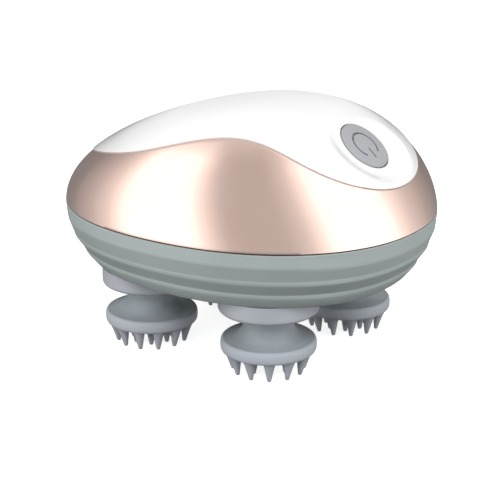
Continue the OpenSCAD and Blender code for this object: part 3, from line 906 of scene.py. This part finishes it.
@dataclass
class GripBase:
    """The stepped grip with its floor, its posts and its holes.

    Attributes:
        form: the surfaces that the shells share.
        rim: depths and insets of the grip's upper edge, under half of the seam.
        brow_rows: rows just above a step's brow, as shares of its height.
        tuck_rows: rows in which a step tucks back in.
        floor_wall: thickness of the floor.
        columns: faces round the grip.
        edge_round: radius of the grip's lower edge.
        spigot_radius: radius of the hole for each collar's spigot.
        socket: radius of the socket's hole, and how far its tool reaches in and out.
        socket_at: place and height of the socket's mouth at the tail.
        post_at: places of the four screw posts along and across.
        post: section of a post, from its foot to its top.
    """

    form: BodyForm
    rim: tuple[tuple[float, float], ...] = ((0.25, 0.25), (0.45, 0.02))
    brow_rows: tuple[float, float] = (0.14, 0.06)
    tuck_rows: int = 6
    floor_wall: float = 2.4
    columns: int = 320
    edge_round: float = 0.9
    spigot_radius: float = 13.0
    socket: tuple[float, float, float] = (3.2, 12.0, 8.0)
    socket_at: tuple[float, float] = (-58.45, 38.5)
    post_at: tuple[float, float] = (42.5, 18.0)
    post: tuple[tuple[float, float], ...] = (
        (1.1, 28), (3.4, 28), (3.4, 40.3), (3.1, 40.7), (1.4, 40.7), (1.1, 40.4)
    )

    def _stations(self) -> list[tuple[float, ...]]:
        """Lists the rows of the grip's section, from its rim down, in and up again.

        Returns:
            Step and share for a row of a step, or depth, inset and scale for another.
        """
        form, grip, soft = self.form, self.form.grip, self.edge_round
        brow, turn_in = 1 - form.step_return, form.step_return
        shares = [0.1, 0.4, *(brow - row for row in self.brow_rows)]
        shares += [brow + turn_in * k / self.tuck_rows for k in range(self.tuck_rows + 1)]
        rim = [(*row, 1.0) for row in self.rim]
        steps = [(step, share) for step in range(form.step_count) for share in shares]
        foot = [
            (grip - soft + soft * math.sin(a), soft * (1 - math.cos(a)), 1.0)
            for a in (0.0, 0.4, 0.8, 1.2, math.pi / 2)
        ]
        foot += [(grip, soft, scale) for scale in (0.9, 0.6, 0.3, 0.0)]
        deep = grip - self.floor_wall
        inside = [(deep, form.wall, scale) for scale in (0.0, 0.3, 0.6, 0.9, 1.0)]
        inside += [(deep * share, form.wall, 1.0) for share in (0.75, 0.5, 0.25)]
        return rim + steps + foot + inside + [(rim[0][0], form.wall, 1.0)] + rim[:1]

    def _hole_tools(self) -> list[bpy.types.Object]:
        """Makes the tools that cut the four spigot holes and the socket's hole.

        Returns:
            The tools at their places.
        """
        floor = self.form.parting - self.form.grip
        tools = []
        for quarter in Quarter:
            tool = rod(self.spigot_radius, floor - 1, floor + self.floor_wall + 1)
            tools.append(move(tool, turn(quarter.angle) @ shift(DRIVE_RADIUS)))
        radius, inside, outside = self.socket
        x, z = self.socket_at
        tools.append(move(rod(radius, -outside, inside, 48), shift(x, 0, z) @ turn(-90, "Y")))
        return tools

    def build(self) -> None:
        """Lofts the grip, cuts its holes and sets its posts."""
        form, stations = self.form, self._stations()

        def place(around: float, along: float) -> tuple[float, float, float]:
            """Finds a point of the grip.

            Args:
                around: share of the way round it.
                along: share of the way along its section.

            Returns:
                The point in millimetres.
            """
            angle, station = math.tau * around, stations[round(along * (len(stations) - 1))]
            if len(station) == 2:
                step, share = station
                depth = (step + share) * form.step_pitch
                x, y = form.plan(angle, form.step_inset(step, share, angle))
                return (x, y, form.parting - depth)
            depth, inset, scale = station
            x, y = form.plan(angle, inset + form.grip_inset(depth))
            return (x * scale, y * scale, form.parting - depth)

        base = wrapped_sheet("stepped_grip", self.columns, len(stations) - 1, place)
        cut(base, *self._hole_tools())
        close_up(base)
        smooth(base, 40)
        along, across = self.post_at
        posts = [
            move(turned("post", self.post, 32), shift(x, y))
            for x in (-along, along) for y in (-across, across)
        ]
        base = join(base, *posts)
        hand_over(base, SATIN_GREY, "shell", "grip_grey", "grip_base")


@dataclass
class PowerButton:
    """The round button in its flat land on the nose.

    Attributes:
        middle: point of the dome under which it sits.
        tilt: degrees by which it leans towards the nose.
        radius: radius of the button.
        gap: clearance round it in its well.
        sink: how far its rim lies under the dome's tangent plane.
        land_sink: how far the flat land round it lies under that plane.
        land_width: width of the land.
        dish_blend: width over which the land runs out into the cap.
        guide_seat: thickness of the cap over the guide ring.
        guide_height: height of the guide ring.
        guide_width: width of the pocket for the guide ring, past the gap.
        land_trim: how far inside its rim the land is cut flat.
        crown: how far the button's middle stands out.
        line: width of the engraved lines.
        line_depth: depth of the engraved lines.
        ring_radius: radius of the sign's ring.
        ring_gap: half of the ring's opening, in degrees.
        bar: where the sign's bar starts and ends.
        flange: width and thickness of the flange that keeps the button in.
        skirt: thickness of the button's wall and of its top.
        stem: radius of the stem and its length below the flange.
    """

    middle: Vector
    tilt: float = 40.0
    radius: float = 8.75
    gap: float = 0.35
    sink: float = 1.9
    land_sink: float = 2.2
    land_width: float = 3.0
    dish_blend: float = 6.0
    guide_seat: float = 1.4
    guide_height: float = 2.4
    guide_width: float = 1.4
    land_trim: float = 0.4
    crown: float = 0.35
    line: float = 0.7
    line_depth: float = 0.8
    ring_radius: float = 4.7
    ring_gap: float = 40.0
    bar: tuple[float, float] = (1.5, 5.2)
    flange: tuple[float, float] = (1.1, 1.1)
    skirt: tuple[float, float] = (1.5, 1.8)
    stem: tuple[float, float] = (1.7, 4.7)

    def to_face(self) -> Matrix:
        """Moves from the button's own axes to its place."""
        return shift(*self.middle) @ turn(self.tilt, "Y")

    def dished(self, point: Vector, depth: float) -> tuple[float, float, float]:
        """Draws a point of the cap down to the land's plane, softly at the dish's rim.

        Args:
            point: point of the cap in millimetres.
            depth: how far the skin lies under the cap's face there.

        Returns:
            The point in millimetres.
        """
        tilt = math.radians(self.tilt)
        up = Vector((math.sin(tilt), 0, math.cos(tilt)))
        offset = point - self.middle
        height = offset.dot(up)
        out = (offset - up * height).length - self.radius - self.land_width
        share = 1 - soft_step(out / self.dish_blend)
        point = point - up * max(0.0, height + self.land_sink + depth) * share
        return point.to_tuple()

    def well_tools(self) -> list[bpy.types.Object]:
        """Makes the tools that cut the well, the guide's pocket and the land into the cap.

        Returns:
            The tools at their places.
        """
        bore, land = self.radius + self.gap, -self.land_sink
        seat = land - self.guide_seat
        tools = [
            rod(bore, seat - self.guide_height - 1, 6, 160),
            rod(bore + self.guide_width, seat - self.guide_height - 4, seat, 160),
            rod(self.radius + self.land_width - self.land_trim, land - 0.02, 8, 160),
        ]
        return [move(tool, self.to_face()) for tool in tools]

    def _symbol_tools(self) -> list[bpy.types.Object]:
        """Makes the tools that engrave the open ring and the bar of the power sign.

        Returns:
            The ring and the bar, about the button's own axis.
        """
        low, high = -self.sink - self.line_depth, 1.0
        half = self.line / 2
        inner, outer = self.ring_radius - half, self.ring_radius + half
        deselect()
        bpy.ops.mesh.primitive_circle_add(vertices=4, radius=1, fill_type="NGON")
        ring = new_piece("tool")
        corners = ((inner, low), (outer, low), (outer, high), (inner, high))
        for vertex, (radius, height) in zip(ring.data.vertices, corners):
            vertex.co = turn(-self.ring_gap) @ Vector((radius, 0, height)) * MM
        bpy.ops.object.mode_set(mode="EDIT")
        bpy.ops.mesh.select_all(action="SELECT")
        bpy.ops.mesh.spin(
            steps=80, dupli=False, angle=math.radians(360 - 2 * self.ring_gap),
            center=(0, 0, 0), axis=(0, 0, 1),
        )
        bpy.ops.object.mode_set(mode="OBJECT")
        close_up(ring)
        deselect()
        bpy.ops.mesh.primitive_cube_add(size=1)
        bar = new_piece("tool")
        near, far = self.bar
        size = Vector((far - near, self.line, high - low)) * MM
        move(bar, Matrix.Diagonal((*size, 1)))
        move(bar, shift((near + far) / 2, 0, (high + low) / 2))
        return [ring, bar]

    def build(self) -> None:
        """Turns the button, engraves it and sets it in its well."""
        rim, top = self.radius, -self.sink
        seat = -self.land_sink - self.guide_seat - self.guide_height - 0.05
        brim, foot = rim + self.flange[0], seat - self.flange[1]
        inner, under = rim - self.skirt[0], top - self.skirt[1]
        stem, tip = self.stem[0], seat - self.stem[1]
        section = [(0.0, top + self.crown)]
        section += [
            (rim * share, top + self.crown * (1 - (share / 0.95) ** 2))
            for share in (0.2, 0.4, 0.6, 0.8, 0.92)
        ]
        section += [(rim - 0.28, top - 0.02), (rim - 0.08, top - 0.14), (rim, top - 0.4),
                    (rim, seat), (brim, seat), (brim, foot), (inner, foot), (inner, under),
                    (stem, under), (stem, tip), (0.0, tip)]
        button = turned("power_button_cap", section, 128)
        cut(button, *self._symbol_tools())
        close_up(button)
        smooth(button, 28)
        move(button, self.to_face())
        hand_over(button, BUTTON_GREY, "button", "button_grey", "power_button")


@dataclass
class MassageHead:
    """One collar and one silicone head with its fingers.

    Attributes:
        quarter: the head's place.
        phase: degrees by which the head has turned.
        radius: radius of the lip.
        neck: radius of the neck under the collar.
        finger: height of the fingers.
        lip: height of the lip.
        flare: height of the concave flare.
        flare_rise: height over which the flare sweeps in to the neck.
        shoulder: width of the lip's upper side.
        drop: height of the collar.
        outer_count: fingers of the outer ring.
        inner_count: fingers of the inner ring.
        outer_inset: how far the outer ring lies inside the lip.
        inner_radius: radius of the inner ring.
        finger_root: radius of a finger at its root.
        finger_tip: radius of a finger at its tip.
        lean: degrees by which the outer fingers lean.
        rooted: how deep the fingers' roots lie in the lip.
        core_bore: radius of the bore for the hard core.
        core_seat: radius of the core's disc, and its lower and upper height.
        collar_radius: radius of the collar.
        collar_round: radius of the collar's lower edge.
        spigot: radius and height of the collar's spigot.
    """

    quarter: Quarter
    phase: float
    radius: float = 15.25
    neck: float = 8.0
    finger: float = 6.8
    lip: float = 4.2
    flare: float = 9.0
    flare_rise: float = 5.0
    shoulder: float = 2.4
    drop: float = 6.0
    outer_count: int = 12
    inner_count: int = 7
    outer_inset: float = 3.05
    inner_radius: float = 6.4
    finger_root: float = 2.1
    finger_tip: float = 0.6
    lean: float = 8.0
    rooted: float = 0.6
    core_bore: float = 5.6
    core_seat: tuple[float, float, float] = (11.25, 2.0, 3.6)
    collar_radius: float = 16.0
    collar_round: float = 1.5
    spigot: tuple[float, float] = (13, 2.4)

    def to_place(self) -> Matrix:
        """Moves from the head's own axis to its quarter."""
        return turn(self.quarter.angle) @ shift(DRIVE_RADIUS)

    def collar(self) -> None:
        """Turns the pale collar with its rounded lower edge."""
        low = self.finger + self.lip + self.flare
        floor = low + self.drop
        radius, soft = self.collar_radius, self.collar_round
        spigot, top = self.spigot[0], floor + self.spigot[1]
        mouth = self.neck + 0.5
        section = [(mouth, low + 0.3), (self.neck + 0.8, low)]
        section += [
            (radius - soft + soft * math.sin(a), low + soft * (1 - math.cos(a)))
            for a in (math.pi / 2 * k / 8 for k in range(9))
        ]
        section += [(radius, floor), (spigot, floor), (spigot, top), (5, top),
                    (5, low + 2.1), (7, low + 2.1), (7, low + 1), (mouth, low + 1)]
        piece = turned("collar_ring_" + self.quarter.word, section, 128)
        smooth(piece, 35)
        move(piece, self.to_place())
        hand_over(piece, SATIN_PALE, "shell", "collar_grey", "collar_" + self.quarter.word)

    def _finger(self, lean: float, length: float) -> bpy.types.Object:
        """Turns one tapered finger that hangs from the origin.

        Args:
            lean: degrees by which it leans.
            length: its length in millimetres.

        Returns:
            The finger.
        """
        root, tip = self.finger_root, self.finger_tip
        section = [(0.0, 0.0), (root + 0.25, 0.0), (root, -0.75)]
        section += [
            (root + (tip - root) * s**0.96, -length * s) for s in (0.3, 0.5, 0.7, 0.85, 0.95)
        ]
        section += [(tip * 0.98, -length + 0.18), (tip * 0.72, -length + 0.03), (0.0, -length)]
        piece = turned("finger", section, 20)
        return move(piece, turn(lean, "Y"))

    def head(self) -> None:
        """Turns the flare and the lip, and sets the rings of fingers under it."""
        low, r, n = self.finger, self.radius, self.neck
        brow, top = low + self.lip, low + self.lip + self.flare + 0.8
        seat, seat_low, seat_high = self.core_seat
        section = [(2.5, low + 2.0), (2.5, low), (r - 0.9, low), (r - 0.6, low + 0.08),
                   (r - 0.35, low + 0.3), (r - 0.18, low + 0.65), (r - 0.08, low + 1.0),
                   (r, low + 2.0), (r - 0.04, brow - 1.3), (r - 0.16, brow - 0.75),
                   (r - 0.38, brow - 0.32), (r - 0.7, brow - 0.06), (r - 1.0, brow),
                   (r - 1.3, brow - 0.08), (r - 1.7, brow - 0.12),
                   (r - self.shoulder, brow - 0.02)]
        reach = r - self.shoulder - n
        section += [
            (n + reach * (1 - math.sin(a)), brow - 0.02 + self.flare_rise * (1 - math.cos(a)))
            for a in (math.pi / 2 * k / 12 for k in range(1, 13))
        ]
        section += [(n, top), (self.core_bore, top), (self.core_bore, low + 4.8),
                    (seat, low + seat_high), (seat, low + seat_low)]
        body = turned("silicone_head_" + self.quarter.word, section, 112)
        plug = turned("plug", [(0, low), (2.5, low), (2.5, low + 2), (0, low + 2)], 24)
        smooth(body, 45)
        # A leaning finger stops just short of the ground, which the middle ones reach
        lean = math.radians(self.lean)
        root = low + self.rooted
        length = (root - 0.05 - self.finger_tip * math.sin(lean)) / math.cos(lean)
        outer = self._finger(self.lean, length)
        inner = self._finger(0, root)
        smooth(outer, 60)
        smooth(inner, 60)
        parts = [body, plug]
        rings = (
            (outer, self.outer_count, r - self.outer_inset, 0.0),
            (inner, self.inner_count, self.inner_radius, 0.5),
            (inner, 1, 0.0, 0.0),
        )
        for model, count, at, start in rings:
            for index in range(count):
                twin = copy_of(model, "finger")
                angle = 360 / count * (index + start) + self.phase
                parts.append(move(twin, turn(angle) @ shift(at, 0, root)))
        for model in (outer, inner):
            bpy.data.objects.remove(model)
        whole = join(*parts)
        move(whole, self.to_place())
        hand_over(
            whole, SILICONE, "massage_head_" + self.quarter.word, "silicone",
            "head_" + self.quarter.word,
        )

    def build(self) -> None:
        """Makes the collar and the head."""
        self.collar()
        self.head()


@dataclass
class DriveTrain:
    """The carried-over pieces inside, each with its real material.

    Attributes:
        nodes: every node of the model by its name.
        finishes: the finish for each start of a name, the longer starts first.
    """

    nodes: dict[str, bpy.types.Object]
    finishes: dict[str, Finish] = field(
        default_factory=lambda: {
            "button_guide": NATURAL_ABS, "core_": NATURAL_ABS, "spindle_": STEEL,
            "bush_": BRONZE, "seal_": BLACK_RUBBER, "gear_cover": NATURAL_ABS, "gear_": ACETAL,
            "sun_gear": ACETAL, "sun_": STEEL, "idler_gear": ACETAL, "idler_": STEEL,
            "motor_pinion": BRASS, "motor_end_cap": BLACK_ABS, "motor_": STEEL,
            "cover_screws": STEEL, "battery_cell": WRAP, "battery_": BLACK_ABS,
            "circuit_board": BOARD, "board_bracket": NATURAL_ABS, "board_screws": STEEL,
            "switch_": BLACK_ABS, "charging_socket": BLACK_ABS,
        }
    )

    def build(self) -> None:
        """Dresses every node whose name starts with a known word."""
        for name, node in self.nodes.items():
            for start, finish in self.finishes.items():
                if name.startswith(start):
                    finish.put_on(node)
                    LOG.info("%s: %s", name, finish.name)
                    break


@dataclass(frozen=True)
class Softbox:
    """One soft light.

    Attributes:
        name: name of the light.
        turn_by: degrees from the camera's azimuth.
        height: degrees above the horizon.
        size: width and height in metres.
        watts: power of the light.
    """

    name: str
    turn_by: float
    height: float
    size: tuple[float, float]
    watts: float


@dataclass
class Studio:
    """Pale floor, soft light and the camera.

    Attributes:
        azimuth: degrees of the camera round the object.
        elevation: degrees of the camera above the horizon.
        distance: millimetres from the aim to the camera.
        focal_px: focal length in pixels of the frame.
        frame_px: side of the frame in pixels.
        aim: point that the camera turns to, in millimetres.
        aim_px: where that point lies in the frame.
        low: light from straight below.
        bounce: light from the floor near the horizon.
        horizon: light from the horizon.
        mid_sky: light from halfway up.
        zenith: light from straight above.
        strips: strength of what is mirrored, by degrees from the camera's side.
        strip_lean: degrees by which the mirrored strips turn from foot to top.
        overhead: heights between which the strips give way to the ceiling.
        storeys: strength of what is mirrored, by height from floor to ceiling.
        light_reach: metres from the object to each soft light.
        floor_size: side of the floor in metres.
        softboxes: the soft lights.
    """

    azimuth: float = 34.5
    elevation: float = 16.4
    distance: float = 490.0
    focal_px: float = 1488.0
    frame_px: float = 500.0
    aim: tuple[float, float, float] = (0.0, 0.0, 46.0)
    aim_px: tuple[float, float] = (249.5, 200.0)
    low: float = 0.06
    bounce: float = 0.6
    horizon: float = 0.78
    mid_sky: float = 0.74
    zenith: float = 0.6
    strips: tuple[tuple[float, float], ...] = (
        (-90, 0.22), (-70, 0.32), (-56, 0.65),  # left flag
        (-48, 1.05), (-41, 2.0), (-26, 2.0), (-22, 1.3),  # left strip light
        (-16, 0.7), (-7, 0.65), (3, 0.65), (11, 0.9),  # grey card by the camera
        (16, 1.35), (22, 2.0), (47, 2.0), (53, 1.35),  # right strip light
        (60, 0.85), (68, 0.52), (80, 0.3), (90, 0.25),  # right flag
    )
    strip_lean: float = 7.0
    overhead: tuple[float, float] = (0.78, 0.93)
    storeys: tuple[tuple[float, float], ...] = ((0.25, 0.2), (0.47, 1.0), (0.88, 1.0), (0.98, 0.8))
    light_reach: float = 1.6
    floor_size: float = 12.0
    softboxes: tuple[Softbox, ...] = (
        Softbox("softbox_left", -52, 2, (0.7, 0.7), 8),
        Softbox("softbox_right", 62, 28, (0.6, 1.2), 9),
        Softbox("softbox_key", -14, 40, (1.4, 0.8), 11),
        Softbox("softbox_low", -34, -3, (0.8, 0.4), 5),
    )

    def way_to(self, turn_by: float, height: float) -> Vector:
        """Finds a direction from the object.

        Args:
            turn_by: degrees from the camera's azimuth.
            height: degrees above the horizon.

        Returns:
            The direction, one unit long.
        """
        a, e = math.radians(self.azimuth + turn_by), math.radians(height)
        return Vector((math.sin(a) * math.cos(e), -math.cos(a) * math.cos(e), math.sin(e)))

    def back(self) -> Vector:
        """Direction from the aim to the camera."""
        return self.way_to(0, self.elevation)

    def camera(self) -> None:
        """Sets the camera at the photograph's angle."""
        data = bpy.data.cameras.new("camera")
        data.sensor_width = SENSOR_MM
        data.lens = self.focal_px / self.frame_px * SENSOR_MM
        data.shift_x = (self.frame_px / 2 - self.aim_px[0]) / self.frame_px
        data.shift_y = (self.aim_px[1] - self.frame_px / 2) / self.frame_px
        data.clip_start, data.clip_end = 0.01, 20.0
        camera = bpy.data.objects.new("camera", data)
        bpy.context.scene.collection.objects.link(camera)
        camera.location = Vector(self.aim) * MM + self.back() * self.distance * MM
        camera.rotation_mode = "QUATERNION"
        camera.rotation_quaternion = (-self.back()).to_track_quat("-Z", "Y")
        bpy.context.scene.camera = camera

    def floor(self) -> None:
        """Lays the pale lit floor, which the plating doesn't mirror."""
        deselect()
        bpy.ops.mesh.primitive_plane_add(size=self.floor_size)
        floor = new_piece("studio_floor")
        LIT_ACRYLIC.put_on(floor)
        floor.visible_glossy = floor.visible_diffuse = False

    def mirrored(self, tree: bpy.types.NodeTree, way: bpy.types.NodeSocket) -> bpy.types.Node:
        """Studio as the glossy faces see it: strip lights, flags, a ceiling and a dim floor.

        Args:
            tree: node tree of the world.
            way: direction of the ray.

        Returns:
            A background node.
        """
        half_way = add_node(
            tree, "ShaderNodeVectorMath", {"0": way, "1": self.back()}, operation="ADD"
        )
        facing = add_node(
            tree, "ShaderNodeVectorMath", {"0": half_way.outputs["Vector"]}, operation="NORMALIZE"
        ).outputs["Vector"]
        turned_to = add_node(
            tree, "ShaderNodeMapping",
            {"Vector": facing, "Rotation": (0, 0, math.radians(90 - self.azimuth))},
        )
        round_about = add_node(
            tree, "ShaderNodeTexGradient", {"Vector": turned_to.outputs["Vector"]},
            gradient_type="RADIAL",
        )
        height = add_node(tree, "ShaderNodeSeparateXYZ", {"Vector": facing}).outputs["Z"]
        leaning = add_node(
            tree, "ShaderNodeMath",
            {"0": height, "1": self.strip_lean / 360, "2": round_about.outputs["Fac"]},
            operation="MULTIPLY_ADD",
        )
        strips = add_node(tree, "ShaderNodeValToRGB", {"Fac": leaning.outputs["Value"]})
        ramp(strips, [(0.5 + angle / 360, grey(light)) for angle, light in self.strips])
        overhead = add_node(
            tree, "ShaderNodeMapRange",
            {"Value": height, "From Min": self.overhead[0], "From Max": self.overhead[1]},
        )
        room = add_node(
            tree, "ShaderNodeMixRGB",
            {"0": overhead.outputs["Result"], "1": strips.outputs["Color"], "2": grey(1.0)},
        )
        storeys = add_node(tree, "ShaderNodeValToRGB", {"Fac": self.as_share(tree, height)})
        ramp(storeys, [(share, grey(light)) for share, light in self.storeys])
        strength = add_node(tree, "ShaderNodeSeparateColor", {"Color": storeys.outputs["Color"]})
        return add_node(
            tree, "ShaderNodeBackground",
            {"Color": room.outputs["Color"], "Strength": strength.outputs["Red"]},
        )

    def as_share(
        self, tree: bpy.types.NodeTree, height: bpy.types.NodeSocket
    ) -> bpy.types.NodeSocket:
        """Turns a height from -1 to 1 into a share from 0 to 1.

        Args:
            tree: node tree of the world.
            height: the height's socket.

        Returns:
            The share's socket.
        """
        return add_node(
            tree, "ShaderNodeMapRange", {"Value": height, "From Min": -1.0, "From Max": 1.0}
        ).outputs["Result"]

    def sky(self, tree: bpy.types.NodeTree, way: bpy.types.NodeSocket) -> bpy.types.Node:
        """Soft light from above for the satin faces, with little light from the floor.

        Args:
            tree: node tree of the world.
            way: direction of the ray.

        Returns:
            A background node.
        """
        height = add_node(tree, "ShaderNodeSeparateXYZ", {"Vector": way}).outputs["Z"]
        light = add_node(tree, "ShaderNodeValToRGB", {"Fac": self.as_share(tree, height)})
        ramp(light, [(0.0, grey(self.low)), (0.38, grey(self.low)), (0.48, grey(self.bounce)),
                     (0.5, grey(self.horizon)), (0.75, grey(self.mid_sky)),
                     (1.0, grey(self.zenith))])
        return add_node(tree, "ShaderNodeBackground", {"Color": light.outputs["Color"]})

    def world(self) -> None:
        """Surrounds the object with the pale studio."""
        world = bpy.data.worlds.new("studio")
        bpy.context.scene.world = world
        bpy.context.scene.view_settings.view_transform = "Standard"
        world.use_nodes = True
        world.cycles.sampling_method = "NONE"
        tree = world.node_tree
        tree.nodes.clear()
        way = add_node(tree, "ShaderNodeTexCoord").outputs["Generated"]
        ray = add_node(tree, "ShaderNodeLightPath").outputs
        lit = add_node(
            tree, "ShaderNodeMixShader",
            {"0": ray["Is Glossy Ray"], "1": self.sky(tree, way).outputs["Background"],
             "2": self.mirrored(tree, way).outputs["Background"]},
        )
        plain = add_node(tree, "ShaderNodeBackground", {"Color": grey(1.0)})
        seen = add_node(
            tree, "ShaderNodeMixShader",
            {"0": ray["Is Camera Ray"], "1": lit.outputs["Shader"],
             "2": plain.outputs["Background"]},
        )
        add_node(tree, "ShaderNodeOutputWorld", {"Surface": seen.outputs["Shader"]})

    def hang(self, box: Softbox) -> None:
        """Hangs one soft light, turned to the object.

        Args:
            box: the light's size, place and power.
        """
        data = bpy.data.lights.new(box.name, "AREA")
        data.shape = "RECTANGLE"
        data.size, data.size_y = box.size
        data.energy = box.watts
        light = bpy.data.objects.new(box.name, data)
        bpy.context.scene.collection.objects.link(light)
        way = self.way_to(box.turn_by, box.height)
        light.location = Vector(self.aim) * MM + way * self.light_reach
        light.rotation_mode = "QUATERNION"
        light.rotation_quaternion = (-way).to_track_quat("-Z", "Y")
        light.visible_camera = light.visible_glossy = False

    def build(self) -> None:
        """Makes the camera, the floor and the lights."""
        self.camera()
        self.floor()
        self.world()
        for box in self.softboxes:
            self.hang(box)
        LOG.info("studio: %d soft lights", len(self.softboxes))


def main() -> None:
    """Loads the frame and builds every sub-assembly in order."""
    logging.basicConfig(level=logging.INFO, format="%(message)s")
    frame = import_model()
    Studio().build()
    form = BodyForm()
    button = PowerButton(form.nose_point(BUTTON_SET_BACK))
    UpperShell(form).build(button)
    GripBase(form).build()
    button.build()
    for quarter, phase in zip(Quarter, HEAD_PHASES):
        MassageHead(quarter, phase).build()
    DriveTrain(frame["nodes"]).build()
    deselect()


if __name__ == "__main__":
    main()
